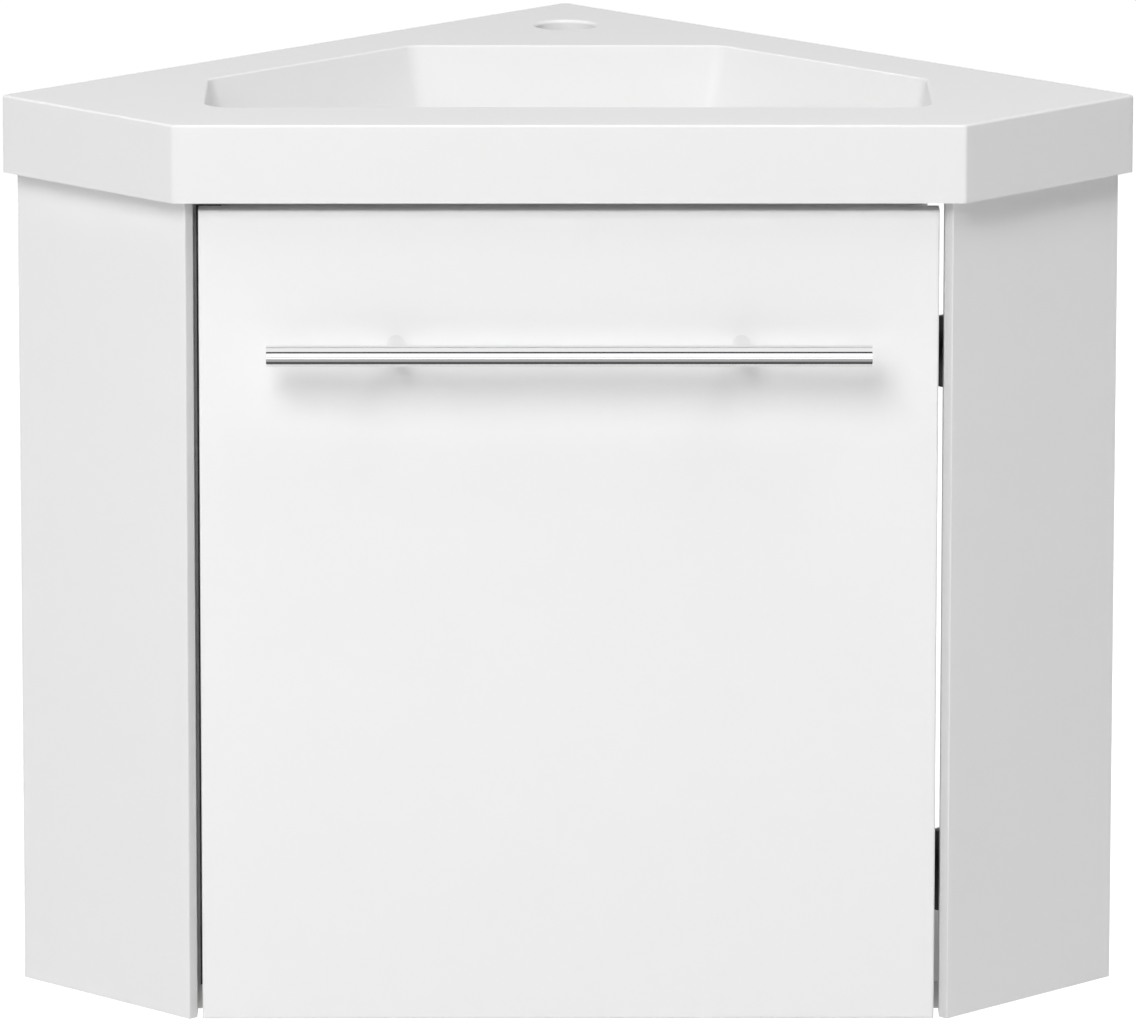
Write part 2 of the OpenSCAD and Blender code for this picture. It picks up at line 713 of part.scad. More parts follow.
module door_blank()
    intersection() {
        linear_extrude(height = door_h)
            polygon(rounded([[-door_w / 2, y_nose], [door_w / 2, y_nose],
                             [door_w / 2, y_door_back], [-door_w / 2, y_door_back]],
                            [door_edge_r, door_edge_r, 0.3, 0.3], 3));
        translate([-door_w / 2 - 1, 0, 0]) rotate([90, 0, 90])
            linear_extrude(height = door_w + 2)
                polygon(rounded([[y_nose, 0], [y_door_back, 0],
                                 [y_door_back, door_h], [y_nose, door_h]],
                                [door_edge_r, 0.3, 0.3, door_edge_r], 3));
    }

module door_panel() color("white")
    difference() {
        door_blank();
        for (z = hinge_zs) {
            translate([cup_x, y_cup, z]) rod_y(cup_d / 2, cup_depth + eps);
            for (dz = [-cup_screw_z, cup_screw_z])
                translate([cup_screw_x, y_door_back - cup_screw_l, z + dz])
                    rod_y(cup_screw_r + thread_fit, cup_screw_l + eps);
        }
        for (k = [-1, 1])
            translate([k * post_pitch / 2, y_nose - eps, bar_z])
                rod_y(handle_screw_d / 2 + handle_hole_gap, door_t + 2 * eps);
    }

// Pressed cup with its flange, wings and the two ears that hold the pin
module hinge_cup(z)
    translate([0, 0, z])
        difference() {
            union() {
                difference() {
                    union() {
                        translate([cup_x, y_cup, 0]) rod_y(cup_r, cup_depth + flange_t);
                        translate([cup_x, y_door_back, 0]) rod_y(flange_r, flange_t);
                        translate([cup_screw_x - wing_r, y_door_back, -cup_screw_z])
                            cube([2 * wing_r, flange_t, 2 * cup_screw_z]);
                        for (dz = [-cup_screw_z, cup_screw_z])
                            translate([cup_screw_x, y_door_back, dz]) rod_y(wing_r, flange_t);
                    }
                    translate([cup_x, y_cup + cup_t, 0])
                        rod_y(cup_in_r, cup_depth + flange_t);
                }
                for (k = [-1, 1])
                    intersection() {
                        translate([cup_x, y_cup + cup_t / 2, 0])
                            rod_y(cup_in_r + cup_t / 2, cup_depth);
                        translate([pin_x - 4, y_cup,
                                   k > 0 ? arm_w / 2 + ear_gap : -cup_r])
                            cube([8, pin_y - y_cup + 4, cup_r - arm_w / 2 - ear_gap]);
                    }
            }
            translate([pin_x, pin_y, -pin_half]) cylinder(d = pin_d, h = 2 * pin_half);
            for (dz = [-cup_screw_z, cup_screw_z])
                translate([cup_screw_x, y_door_back - eps, dz])
                    rod_y(cup_screw_r + 0.2, flange_t + 2 * eps);
        }
module hinge_cup_lower() color("silver") hinge_cup(hinge_zs[0]);
module hinge_cup_upper() color("silver") hinge_cup(hinge_zs[1]);

module hinge_pin(z)
    translate([pin_x, pin_y, z - pin_half]) cylinder(d = pin_d, h = 2 * pin_half);
module hinge_pin_lower() color("silver") hinge_pin(hinge_zs[0]);
module hinge_pin_upper() color("silver") hinge_pin(hinge_zs[1]);

module hinge_cup_screws() color("silver")
    for (z = hinge_zs, dz = [-cup_screw_z, cup_screw_z])
        translate([cup_screw_x, y_door_back + flange_t, z + dz])
            rotate([90, 0, 0])
                pan_screw(cup_screw_r, cup_screw_l + flange_t - 0.5, 3.2, 1.6);

// ---------- Handle ----------

module handle_bar() color("lightgray")
    translate([-bar_l / 2, y_bar, bar_z]) rod_x(bar_d / 2, bar_l);

// Posts with saddles that seat on the bar
module handle_posts() color("lightgray")
    for (k = [-1, 1])
        difference() {
            translate([k * post_pitch / 2, y_bar, bar_z]) rod_y(post_d / 2, bar_reach);
            translate([-bar_l / 2, y_bar, bar_z]) rod_x(bar_d / 2, bar_l);
            translate([k * post_pitch / 2, y_nose - handle_screw_in, bar_z])
                rod_y(handle_screw_d / 2 + thread_fit, handle_screw_in + eps);
        }

module handle_screws() color("silver")
    for (k = [-1, 1])
        translate([k * post_pitch / 2, y_door_back, bar_z])
            rotate([90, 0, 0])
                pan_screw(handle_screw_d / 2, door_t + handle_screw_in - 1,
                          handle_screw_d, screw_head_h);

basin();
side_panel_left();
side_panel_right();
bottom_panel();
rail_left();
rail_right();
corner_post();
stop_strip();
stop_buffer();
dowels();
cam_housings();
cam_bolts();
fixing_brackets();
bracket_screws();
hinge_wedge_upper();
hinge_wedge_lower();
hinge_plate_upper();
hinge_plate_lower();
hinge_plate_screws();
hinge_arm_upper();
hinge_arm_lower();
hinge_arm_screws();
door_panel();
hinge_cup_upper();
hinge_cup_lower();
hinge_pin_upper();
hinge_pin_lower();
hinge_cup_screws();
handle_bar();
handle_posts();
handle_screws();
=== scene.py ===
"""Corner vanity unit: finishes, rounded pieces and studio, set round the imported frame."""

import math

import bmesh
import bpy
from bpy.props import FloatProperty, FloatVectorProperty, PointerProperty
from mathutils import Euler, Matrix, Vector


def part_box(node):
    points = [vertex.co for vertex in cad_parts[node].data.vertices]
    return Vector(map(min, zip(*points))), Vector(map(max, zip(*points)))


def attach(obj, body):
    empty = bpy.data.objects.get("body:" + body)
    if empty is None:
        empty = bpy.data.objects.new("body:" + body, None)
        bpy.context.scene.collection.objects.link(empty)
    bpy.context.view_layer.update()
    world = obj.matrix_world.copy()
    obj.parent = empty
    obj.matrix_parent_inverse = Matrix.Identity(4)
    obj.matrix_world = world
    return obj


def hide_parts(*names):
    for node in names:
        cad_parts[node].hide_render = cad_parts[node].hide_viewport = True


bl_info = {
    "name": "Corner Vanity Unit",
    "version": (1, 0, 0),
    "blender": (4, 5, 0),
    "location": "View3D > Sidebar > Vanity",
    "description": "Finishes, rounded pieces and studio of a corner vanity unit",
    "category": "Add Mesh",
}

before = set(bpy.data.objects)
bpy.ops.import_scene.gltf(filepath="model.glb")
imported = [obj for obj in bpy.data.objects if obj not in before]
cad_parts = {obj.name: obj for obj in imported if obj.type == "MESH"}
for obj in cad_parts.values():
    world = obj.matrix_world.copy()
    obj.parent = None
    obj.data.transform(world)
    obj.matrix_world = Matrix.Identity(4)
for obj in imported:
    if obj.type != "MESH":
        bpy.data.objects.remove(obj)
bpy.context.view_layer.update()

ROOT_2 = math.sqrt(2)
ROUND = 96  # segments of a round hole or post
OVERLAP = 0.0005  # how far a joined solid runs into its neighbour
OVERSHOOT = 0.001  # how far a cutter runs past what it cuts
POST_GAP = 0.00002  # air between the bar and its posts
DOUBLED = 1e-6  # corners closer than this are one corner
SIDES = ("side_panel_left", "side_panel_right")
INNER_BOARDS = (
    "bottom_panel", "rail_left", "rail_right", "corner_post", "stop_strip",
)
STEEL = (
    "cam_housings", "cam_bolts", "fixing_brackets",
    "hinge_plate_upper", "hinge_plate_lower",
    "hinge_arm_upper", "hinge_arm_lower",
    "hinge_cup_upper", "hinge_cup_lower",
    "hinge_pin_upper", "hinge_pin_lower",
)
WEDGES = ("hinge_wedge_upper", "hinge_wedge_lower")
SCREWS = {
    "bracket_screws": "carcass", "hinge_plate_screws": "carcass",
    "hinge_arm_screws": "carcass", "hinge_cup_screws": "door", "handle_screws": "door",
}


def length(name, description, default):
    return FloatProperty(name=name, description=description, default=default,
                         min=0.0, unit="LENGTH", subtype="DISTANCE", precision=4)


def share(name, description, default):
    return FloatProperty(name=name, description=description, default=default,
                         min=0.0, max=1.0, subtype="FACTOR")


def colour(name, description, default):
    return FloatVectorProperty(name=name, description=description, default=default,
                               size=3, min=0.0, max=1.0, subtype="COLOR")


def power(name, description, default):
    return FloatProperty(name=name, description=description, default=default,
                         min=0.0, unit="POWER")


# ---------- Sizes, finishes and studio that a user would change ----------


class VanityBasinSizes(bpy.types.PropertyGroup):
    wall_length: length("Wall Length", "Length of the basin along each wall", 0.450)
    front_width: length("Front Width", "Width of the basin's front face", 0.439)
    rim_height: length("Rim Height", "Height of the basin's rim", 0.044)
    deck: length("Deck", "Thickness of the flat top round the bowl", 0.014)
    rim_corner: length("Rim Corner", "Rounding of the rim's upright corners", 0.003)
    rim_edge: length("Rim Edge", "Rounding of the rim's top edge", 0.0015)
    seat: length("Seat", "Width of the rim's seat at the sides and the front", 0.034)
    wall_seat: length("Wall Seat", "Width of the rim's seat along the walls", 0.020)
    bowl_front: length("Bowl Front", "Distance from the front face to the bowl", 0.057)
    bowl_width: length("Bowl Width", "Width of the bowl's mouth", 0.408)
    bowl_back: length("Bowl Back", "Distance from the wall corner to the bowl", 0.151)
    bowl_wall_gap: length("Bowl Wall Gap", "Distance from each wall to the bowl", 0.0435)
    bowl_depth: length("Bowl Depth", "Depth from the rim to the bowl's floor", 0.105)
    shell: length("Shell", "Thickness of the bowl's shell", 0.008)
    bowl_corner: length("Bowl Corner", "Rounding of the bowl's upright corners", 0.014)
    bowl_floor: length("Bowl Floor", "Rounding between the bowl's walls and floor", 0.022)
    lip: length("Lip", "Rounding of the bowl's lip", 0.0012)
    front_draft: share("Front Draft", "Slope of the bowl's front wall", 0.12)
    end_draft: share("End Draft", "Slope of the bowl's end walls", 0.16)
    slant_draft: share("Slant Draft", "Slope of the bowl's slanted walls", 0.19)
    back_draft: share("Back Draft", "Slope of the bowl's back wall", 0.10)
    floor_fall: length("Floor Fall", "Fall of the floor towards the waste", 0.004)
    waste_hole: length("Waste Hole", "Diameter of the waste hole", 0.046)
    waste_seat: length("Waste Seat", "Diameter of the seat round the waste hole", 0.066)
    waste_seat_depth: length("Waste Seat Depth", "Depth of that seat", 0.0025)
    waste_place: length("Waste Place", "Distance from the front face to the waste", 0.158)
    waste_boss: length("Waste Boss", "Thickness of the boss under the seat", 0.012)
    tap_hole: length("Tap Hole", "Diameter of the tap hole", 0.035)
    tap_place: length("Tap Place", "Distance from the wall corner to the tap hole", 0.0805)
    tap_lip: length("Tap Lip", "Rounding of the tap hole's edge", 0.002)
    pad_width: length("Pad Width", "Width of each pad that takes a bracket", 0.026)
    pad_length: length("Pad Length", "Length of each pad", 0.027)
    side_face: length("Side Face", "Distance along the wall to the side panel's inner face",
                      0.4215)
    pad_first: length("First Pad", "Distance from the wall to the first pad", 0.0275)
    pad_second: length("Second Pad", "Distance from the wall to the second pad", 0.0925)


class VanityHandleSizes(bpy.types.PropertyGroup):
    chamfer: length("Bar Chamfer", "Chamfer of the bar's ends", 0.0003)
    post_chamfer: length("Post Chamfer", "Chamfer of the posts' feet", 0.0002)


class VanityFinishes(bpy.types.PropertyGroup):
    basin: colour("Basin", "Gloss white gel coat", (0.83, 0.83, 0.828))
    lacquer: colour("Lacquer", "Gloss white lacquer of the boards", (0.88, 0.88, 0.88))
    # Painted shade: this darker tone on the side panels' noses and rebates stands in for the shade
    # there.
    nose_painted_shade: colour("Nose Painted Shade", "Painted shade of the side panels' noses", (0.71, 0.71, 0.71))
    # Painted shade: the melamine facing is real, but its grey stands in for the shade inside the
    # cabinet.
    melamine_painted_shade: colour("Melamine", "Painted-shade grey melamine of the inner boards", (0.62, 0.62, 0.615))
    chrome: colour("Chrome", "Polished chrome of the handle", (0.88, 0.88, 0.885))
    zinc: colour("Zinc", "Zinc-plated steel of the fittings", (0.56, 0.57, 0.59))
    screw: colour("Screws", "Bright zinc of the screws", (0.66, 0.66, 0.67))
    wedge: colour("Wedge", "Black moulded nylon of the hinge wedges", (0.010, 0.010, 0.010))
    # Painted shade: the buffer is a rubber piece, but its near-black stands in for the shade in
    # the gap beside the door.
    buffer: colour("Buffer", "Near-black painted shade of the door buffer", (0.030, 0.030, 0.032))
    beech_light: colour("Light Beech", "Light grain of the dowels", (0.62, 0.42, 0.24))
    beech_dark: colour("Dark Beech", "Dark grain of the dowels", (0.44, 0.27, 0.14))


class VanityStudio(bpy.types.PropertyGroup):
    floor_drop: length("Floor Drop", "Height of the unit above the floor", 0.38)
    floor: colour("Floor", "Pale floor", (0.86, 0.86, 0.86))
    backdrop: share("Backdrop", "Brightness that the floor adds to itself in the picture", 0.86)
    fill: share("Fill", "Even light from all round", 0.12)
    key: power("Key", "Large soft light in front, a little to the left", 77.0)
    low_key: power("Low Key", "Low soft light in front, a little to the left", 21.0)
    top: power("Top", "Soft light overhead", 45.0)
    left: power("Left", "Soft light at the left", 14.5)
    high_right: power("High Right", "High soft light at the front right", 35.0)
    back_left: power("Back Left", "Soft light behind, at the left", 22.0)
    back_right: power("Back Right", "Soft light behind, at the right", 22.0)


# ---------- Shader helpers ----------


class Wire:
    """A socket in a node tree; arithmetic on it adds Math nodes."""

    def __init__(self, tree, socket=None):
        self.tree = tree
        self.socket = socket

    def node(self, kind, settings=None, values=None, out=0):
        """Adds a node: its settings first, then values or links of its sockets."""
        made = self.tree.nodes.new(kind)
        for name, value in (settings or {}).items():
            if name == "stops":
                ramp = made.color_ramp.elements
                while len(ramp) < len(value):
                    ramp.new(0.5)
                for element, (place, tint) in zip(ramp, value):
                    element.position = place
                    element.color = (*tint, 1.0)
            else:
                setattr(made, name, value)
        for name, value in (values or {}).items():
            slot = made.inputs[name]
            if isinstance(value, Wire):
                self.tree.links.new(value.socket, slot)
            else:
                slot.default_value = value
        return Wire(self.tree, made.outputs[out])

    def end(self, kind):
        """Links the socket to the surface of an output node."""
        self.tree.links.new(self.socket, self.tree.nodes.new(kind).inputs["Surface"])

    def maths(self, operation, a, b):
        """Adds a Math node on two values or wires."""
        return self.node("ShaderNodeMath", {"operation": operation}, {0: a, 1: b})

    def __add__(self, other):
        return self.maths("ADD", self, other)

    def __sub__(self, other):
        return self.maths("SUBTRACT", self, other)

    def __rsub__(self, other):
        return self.maths("SUBTRACT", other, self)

    def __mul__(self, other):
        return self.maths("MULTIPLY", self, other)

    __radd__ = __add__
    __rmul__ = __mul__


def rgba(tint, level=1.0):
    """Colour for a socket, its level changed by a factor."""
    return (*(c * level for c in tint), 1.0)


def blank(owner):
    """Wire into the emptied node tree of a new material or world."""
    owner.use_nodes = True
    owner.node_tree.nodes.clear()
    return Wire(owner.node_tree)


def noise(wire, place, scale, detail=2.0, roughness=0.5):
    """Noise over a place, from 0 to 1."""
    return wire.node("ShaderNodeTexNoise", None, {
        "Vector": place, "Scale": scale, "Detail": detail, "Roughness": roughness})


def stretched(wire, place, scale):
    """The place with each axis scaled, for grain that runs one way."""
    return wire.node("ShaderNodeMapping", None, {"Vector": place, "Scale": scale})


def blend(wire, low, high, amount):
    """Mix of two colours by an amount from 0 to 1."""
    return wire.node("ShaderNodeMix", {"data_type": "RGBA"},
                     {"Factor": amount, 6: low, 7: high}, out=2)


def bump(wire, height, strength, distance, rounding=0.0):
    """Normal from a height, on edges that look rounded by a radius."""
    values = {"Height": height, "Strength": strength, "Distance": distance}
    if rounding:
        values["Normal"] = wire.node("ShaderNodeBevel", {"samples": 6}, {"Radius": rounding})
    return wire.node("ShaderNodeBump", None, values)


def finish(name, fixed, paint):
    """Material whose Principled node takes fixed values and what paint() returns."""
    made = bpy.data.materials.new(name)
    wire = blank(made)
    place = wire.node("ShaderNodeTexCoord", None, None, out="Object")
    values = dict(fixed)
    values.update(paint(wire, place))
    wire.node("ShaderNodeBsdfPrincipled", None, values).end("ShaderNodeOutputMaterial")
    return made


def nose_painted_shade(wire, place):
    """1 where painted shade goes on the side panels: the noses and the rebates inside them."""
    axes = [wire.node("ShaderNodeSeparateXYZ", None, {"Vector": place}, out=name)
            for name in ("X", "Y")]
    across = wire.maths("ABSOLUTE", axes[0], 0.0)
    points = [v.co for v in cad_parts["side_panel_left"].data.vertices]
    nose = max(p.x - p.y for p in points)
    rebate = min(-p.x for p in points)
    nose_slack, rebate_slack = 0.0005, 0.0003
    on_nose = wire.maths("LESS_THAN", across + axes[1], nose_slack - nose)
    on_rebate = wire.maths("LESS_THAN", across, rebate + rebate_slack)
    return wire.maths("MAXIMUM", on_nose, on_rebate)


def lacquer(tint, nose_shade_tint=None):
    """Sprayed gloss lacquer with faint orange peel; a darker tint of painted shade goes on the
    side panels' noses and rebates.
    """

    def paint(wire, place):
        drift = noise(wire, place, scale=3.0)
        peel = noise(wire, place, scale=420.0, detail=1.0)
        haze = noise(wire, place, scale=30.0, detail=3.0)
        tone = blend(wire, rgba(tint, 0.995), rgba(tint), drift)
        # Painted shade: the noses and rebates take a darker colour in place of the shade they sit
        # in.
        if nose_shade_tint:
            tone = blend(wire, tone, rgba(nose_shade_tint), nose_painted_shade(wire, place))
        return {
            "Base Color": tone,
            "Roughness": 0.33 + haze * 0.03,
            "Normal": bump(wire, peel, strength=0.05, distance=0.0002, rounding=0.0006),
        }

    return finish("banded_lacquer" if nose_shade_tint else "white_lacquer", {
        "IOR": 1.45, "Specular IOR Level": 0.4,
        "Coat Weight": 0.10, "Coat Roughness": 0.12}, paint)


def melamine_painted_shade(tint):
    """Melamine facing: a fine pressed grain and a satin sheen."""

    def paint(wire, place):
        grain = noise(wire, place, scale=900.0, roughness=0.6)
        drift = noise(wire, place, scale=9.0, detail=3.0)
        return {
            "Base Color": blend(wire, rgba(tint, 0.97), rgba(tint), drift),
            "Roughness": 0.42 + grain * 0.12,
            "Normal": bump(wire, grain, strength=0.12, distance=0.0001, rounding=0.0004),
        }

    return finish("pale_melamine", {"IOR": 1.5}, paint)


def gel_coat(tint):
    """Cast basin's gel coat: deep gloss, soft waves and a few faint specks."""

    def paint(wire, place):
        wave = noise(wire, place, scale=14.0, detail=1.0)
        cloud = noise(wire, place, scale=5.0, detail=4.0, roughness=0.55)
        speck = noise(wire, place, scale=1200.0, detail=1.0)
        return {
            "Base Color": blend(wire, rgba(tint, 0.992), rgba(tint), cloud),
            "Roughness": 0.32 + speck * 0.04,
            "Normal": bump(wire, wave, strength=0.06, distance=0.0006),
        }

    return finish("gel_coat", {
        "IOR": 1.45, "Specular IOR Level": 0.4,
        "Coat Weight": 0.12, "Coat Roughness": 0.12}, paint)


def chrome(tint):
    """Polished chrome with a breath of haze and hairline wipe marks."""

    def paint(wire, place):
        haze = noise(wire, place, scale=60.0, detail=3.0)
        hair = noise(wire, stretched(wire, place, (3.0, 300.0, 300.0)), scale=10.0)
        return {
            "Base Color": blend(wire, rgba(tint, 0.98), rgba(tint), haze),
            "Roughness": 0.045 + hair * 0.02 + haze * 0.01,
        }

    return finish("polished_chrome", {"Metallic": 1.0}, paint)


def zinc(name, tint, least):
    """Bright zinc plate with fine drawn lines, from its least roughness up."""

    def paint(wire, place):
        lines = noise(wire, stretched(wire, place, (1.0, 1.0, 14.0)), scale=260.0)
        cloud = noise(wire, place, scale=90.0, detail=3.0)
        return {
            "Base Color": blend(wire, rgba(tint, 0.84), rgba(tint), cloud),
            "Roughness": least + cloud * 0.14,
            "Normal": bump(wire, lines, strength=0.10, distance=0.0001, rounding=0.0003),
        }

    return finish(name, {"Metallic": 1.0}, paint)


def moulding(name, tint, scale, least):
    """Moulded plastic or rubber with a fine grain, from its least roughness up."""

    def paint(wire, place):
        grain = noise(wire, place, scale, roughness=0.6)
        return {
            "Base Color": blend(wire, rgba(tint), rgba(tint, 1.5), grain),
            "Roughness": least + grain * 0.12,
            "Normal": bump(wire, grain, strength=0.25, distance=0.0001, rounding=0.0005),
        }

    return finish(name, {"IOR": 1.5}, paint)


def beech(light, dark):
    """Turned beech: short flecks along the grain."""

    def paint(wire, place):
        fleck = noise(wire, stretched(wire, place, (60.0, 60.0, 900.0)),
                      scale=1.0, detail=4.0, roughness=0.6)
        stops = ((0.35, tuple(dark)), (0.65, tuple(light)))
        return {
            "Base Color": wire.node("ShaderNodeValToRGB", {"stops": stops}, {"Fac": fleck}),
            "Roughness": 0.55 + fleck * 0.2,
            "Normal": bump(wire, fleck, strength=0.15, distance=0.0001),
        }

    return finish("beech", {"IOR": 1.5}, paint)


def wear(node, material):
    """Gives a frame node its finish."""
    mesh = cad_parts[node].data
    if not mesh.materials:
        mesh.materials.append(material)
    for i in range(len(mesh.materials)):
        mesh.materials[i] = material


# ---------- Outlines and meshes ----------


def corner_arc(before, corner, after, radius, steps):
    """Points of an arc that rounds one corner."""
    p = (before - corner).normalized()
    q = (after - corner).normalized()
    half = p.angle(q) / 2
    middle = corner + (p + q).normalized() * radius / math.sin(half)
    start = corner + p * radius / math.tan(half) - middle
    end = corner + q * radius / math.tan(half) - middle
    first = math.atan2(start.y, start.x)
    turn = (math.atan2(end.y, end.x) - first + math.pi) % (2 * math.pi) - math.pi
    return [middle + radius * Vector((math.cos(first + turn * i / steps),
                                      math.sin(first + turn * i / steps)))
            for i in range(steps + 1)]


def rounded(corners, radius, steps, cuts=None):
    """Rounded outline; the straight after corner j is cut into cuts[j] pieces."""
    corners = [Vector(c) for c in corners]
    count = len(corners)
    arcs = [corner_arc(corners[i - 1], corners[i], corners[(i + 1) % count], radius, steps)
            for i in range(count)]
    outline = []
    for j, arc in enumerate(arcs):
        outline += arc
        after = arcs[(j + 1) % count][0]
        pieces = cuts[j] if cuts else 1
        outline += [arc[-1].lerp(after, k / pieces) for k in range(1, pieces)]
    return outline


def circle(radius, centre=(0.0, 0.0), segments=ROUND):
    """Points of a circle, anticlockwise."""
    return [Vector((centre[0] + radius * math.cos(2 * math.pi * i / segments),
                    centre[1] + radius * math.sin(2 * math.pi * i / segments)))
            for i in range(segments)]


def quarter(steps):
    """Angles of a quarter turn, for a rounded edge."""
    return [math.radians(90 * i / steps) for i in range(steps + 1)]


def skin(mesh, rings):
    """Faces from ring to ring; a ring may be one point over and over."""
    count = len(rings[0])
    for a, b in zip(rings, rings[1:]):
        for i in range(count):
            k = (i + 1) % count
            corners = dict.fromkeys((a[i], a[k], b[k], b[i]))
            if len(corners) > 2:
                mesh.faces.new(tuple(corners))


def lofted(name, rings):
    """Closed solid through (outline, height) rings of equal point counts."""
    mesh = bmesh.new()
    verts = [[mesh.verts.new((p[0], p[1], z)) for p in outline] for outline, z in rings]
    skin(mesh, verts)
    mesh.faces.new(reversed(verts[0]))
    mesh.faces.new(verts[-1])
    bmesh.ops.recalc_face_normals(mesh, faces=mesh.faces)
    return piece(name, mesh)


def turned(outline, segments):
    """Mesh of a profile of (radius, along) points turned round the Z axis."""
    mesh = bmesh.new()
    rings = []
    for radius, along in outline:
        if radius == 0:
            rings.append([mesh.verts.new((0, 0, along))] * segments)
        else:
            rings.append([mesh.verts.new((*p, along)) for p in circle(radius, segments=segments)])
    skin(mesh, rings)
    bmesh.ops.recalc_face_normals(mesh, faces=mesh.faces)
    return mesh


def piece(name, mesh):
    """Object in the scene from an edit mesh, which it uses up."""
    data = bpy.data.meshes.new(name)
    mesh.to_mesh(data)
    mesh.free()
    made = bpy.data.objects.new(name, data)
    bpy.context.scene.collection.objects.link(made)
    return made


def weld(data):
    """Merges the doubled corners that a boolean can leave."""
    mesh = bmesh.new()
    mesh.from_mesh(data)
    bmesh.ops.remove_doubles(mesh, verts=mesh.verts, dist=DOUBLED)
    mesh.to_mesh(data)
    mesh.free()


def combine(body, other, operation):
    """Boolean of body with other, which it uses up."""
    step = body.modifiers.new("combine", "BOOLEAN")
    step.operation = operation
    step.solver = "EXACT"
    step.object = other
    bpy.context.view_layer.update()
    view = bpy.context.evaluated_depsgraph_get()
    data = bpy.data.meshes.new_from_object(body.evaluated_get(view))
    weld(data)
    body.modifiers.clear()
    body.data = data
    bpy.data.objects.remove(other)


def smooth(made, angle):
    """Smooth shading up to an angle in degrees, with flat faces kept flat."""
    made.data.polygons.foreach_set("use_smooth", [True] * len(made.data.polygons))
    made.data.set_sharp_from_angle(angle=math.radians(angle))
    weigh = made.modifiers.new("weigh", "WEIGHTED_NORMAL")
    weigh.mode = "FACE_AREA"
    weigh.weight = 100
    weigh.keep_sharp = True


def on_wall(u, v, side=1):
    """Point at u along the right wall and v off it; side -1 mirrors it."""
    return Vector((side * (u - v) / ROOT_2, -(u + v) / ROOT_2))


# ---------- Basin ----------


def basin_front(s):
    """Y of the basin's front face."""
    return -(ROOT_2 * s.wall_length - s.front_width / 2)


def rim_outline(s, in_wall, in_side, in_front, radius):
    """Five-sided outline, moved in from the walls, the sides and the front."""
    y = basin_front(s) + in_front
    x = ROOT_2 * (s.wall_length - in_side) + y
    ex = (s.wall_length - in_side - in_wall) / ROOT_2
    ey = -(s.wall_length - in_side + in_wall) / ROOT_2
    return rounded([(x, y), (ex, ey), (0, -ROOT_2 * in_wall), (-ex, ey), (-x, y)],
                   radius, steps=8)


def bowl_outline(s, depth, inward, radius, steps=12):
    """Six-sided outline of the bowl at a depth, moved inward."""
    y0 = basin_front(s) + s.bowl_front + s.front_draft * depth + inward
    x = s.bowl_width / 2 - s.end_draft * depth - inward
    gap = ROOT_2 * (s.bowl_wall_gap + s.slant_draft * depth + inward)
    y1 = -(s.bowl_back + s.back_draft * depth + inward)
    x1 = -y1 - gap
    return rounded([(x, y0), (x, -(x + gap)), (x1, y1), (-x1, y1), (-x, -(x + gap)), (-x, y0)],
                   radius, steps, cuts=(4, 8, 6, 8, 4, 16))


def basin_body(s, top, under):
    """Rim with a rounded top edge and the pocket that takes the cabinet."""
    rings = []
    for a in reversed(quarter(8)):
        inward = s.rim_edge * (1 - math.cos(a))
        rings.append((rim_outline(s, inward, inward, inward, s.rim_corner),
                      top - s.rim_edge * (1 - math.sin(a))))
    rings.append((rim_outline(s, 0, 0, 0, s.rim_corner), under))
    body = lofted("basin_top", rings)
    pocket = rim_outline(s, s.wall_seat, s.seat, s.seat, 2 * s.rim_corner)
    combine(body, lofted("pocket", [(pocket, top - s.deck), (pocket, under - OVERSHOOT)]),
            "DIFFERENCE")
    return body


def bowl_shell(s, top, floor):
    """Solid of the bowl's outside, from inside the deck to under the floor."""
    rings = [(bowl_outline(s, s.deck / 2, s.lip - s.shell, s.bowl_corner + s.shell, steps=8),
              top - s.deck / 2)]
    for a in quarter(6):
        depth = s.bowl_depth - s.bowl_floor * (1 - math.sin(a))
        inward = s.lip - s.shell * math.cos(a) + s.bowl_floor * (1 - math.cos(a))
        corner = s.bowl_corner + s.shell * math.cos(a)
        rings.append((bowl_outline(s, depth, inward, corner, steps=8),
                      floor + s.bowl_floor - (s.bowl_floor + s.shell) * math.sin(a)))
    return lofted("shell", rings)


def bowl_space(s, top, floor, waste):
    """Cutter of the bowl's inside: lip, drafted walls, rounded foot and falling floor."""
    rings = [(bowl_outline(s, 0, 0, s.bowl_corner + s.lip), top + OVERSHOOT)]
    for a in reversed(quarter(8)):
        rings.append((bowl_outline(s, 0, s.lip * math.cos(a),
                                   s.bowl_corner + s.lip * (1 - math.cos(a))),
                      top - s.lip * (1 - math.sin(a))))
    for a in quarter(12):
        rings.append((bowl_outline(s, s.bowl_depth - s.bowl_floor * (1 - math.sin(a)),
                                   s.lip + s.bowl_floor * (1 - math.cos(a)), s.bowl_corner),
                      floor + s.bowl_floor * (1 - math.sin(a))))
    last = rings[-1][0]
    seat_edge = s.waste_seat / 2 + 0.003
    ring = [waste + seat_edge * (p - waste).normalized() for p in last]
    for k in (0.35, 0.75, 1.0):
        rings.append(([p.lerp(q, k) for p, q in zip(last, ring)],
                      floor - s.floor_fall * math.sin(math.pi / 2 * k) ** 0.8))
    return lofted("space", rings)


